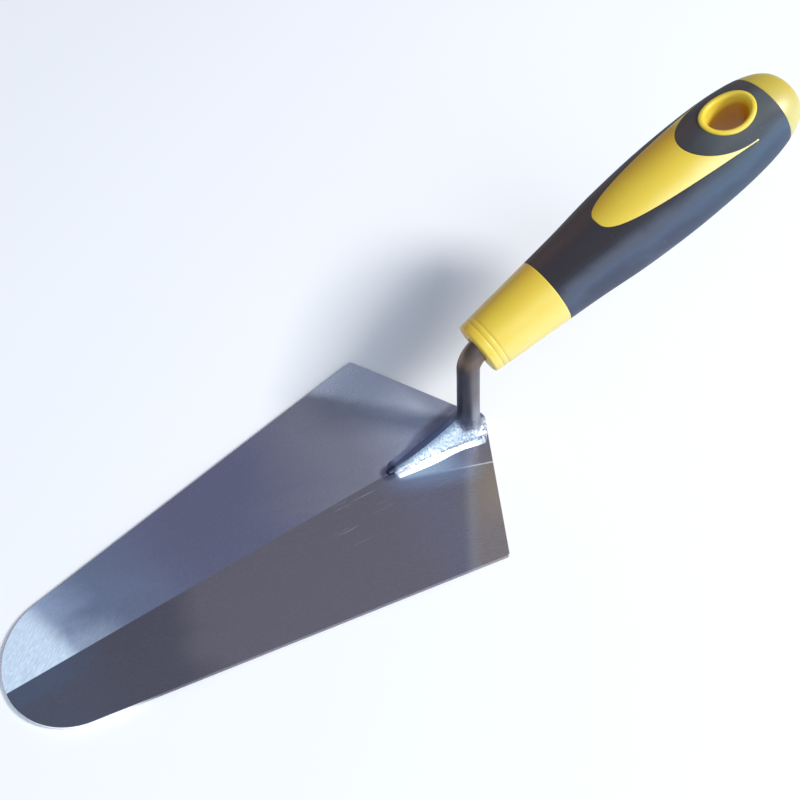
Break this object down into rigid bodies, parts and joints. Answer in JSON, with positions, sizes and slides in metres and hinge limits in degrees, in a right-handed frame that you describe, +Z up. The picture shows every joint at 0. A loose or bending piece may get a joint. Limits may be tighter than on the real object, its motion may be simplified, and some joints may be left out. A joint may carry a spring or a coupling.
{
  "type": "brick trowel",
  "caption": "Brick trowel: a round-tipped steel blade with a pointed heel on a cranked round shank, with a moulded handle, soft grip and hanging hole.",
  "frame": {"origin": "middle of the whole tool's plan, on the surface it stands on", "axes": "+X from the butt of the handle to the tip of the blade, +Y to the left of someone holding it, +Z up"},
  "size_m": [0.2936, 0.0966, 0.1004],
  "materials": {
    "blade_steel": "fine ground and polished carbon steel",
    "shank_steel": "dark forged steel, lightly polished",
    "weld_metal": "bright ground weld with small pits",
    "core_plastic": "satin moulded yellow polypropylene",
    "grip_rubber": "satin dark grey thermoplastic rubber"
  },
  "bodies": {
    "root": {"blade": "blade_steel", "shank": "shank_steel", "weld_bead_left": "weld_metal", "weld_bead_right": "weld_metal", "handle_core": "core_plastic", "grip": "grip_rubber"}
  },
  "joints": []
}
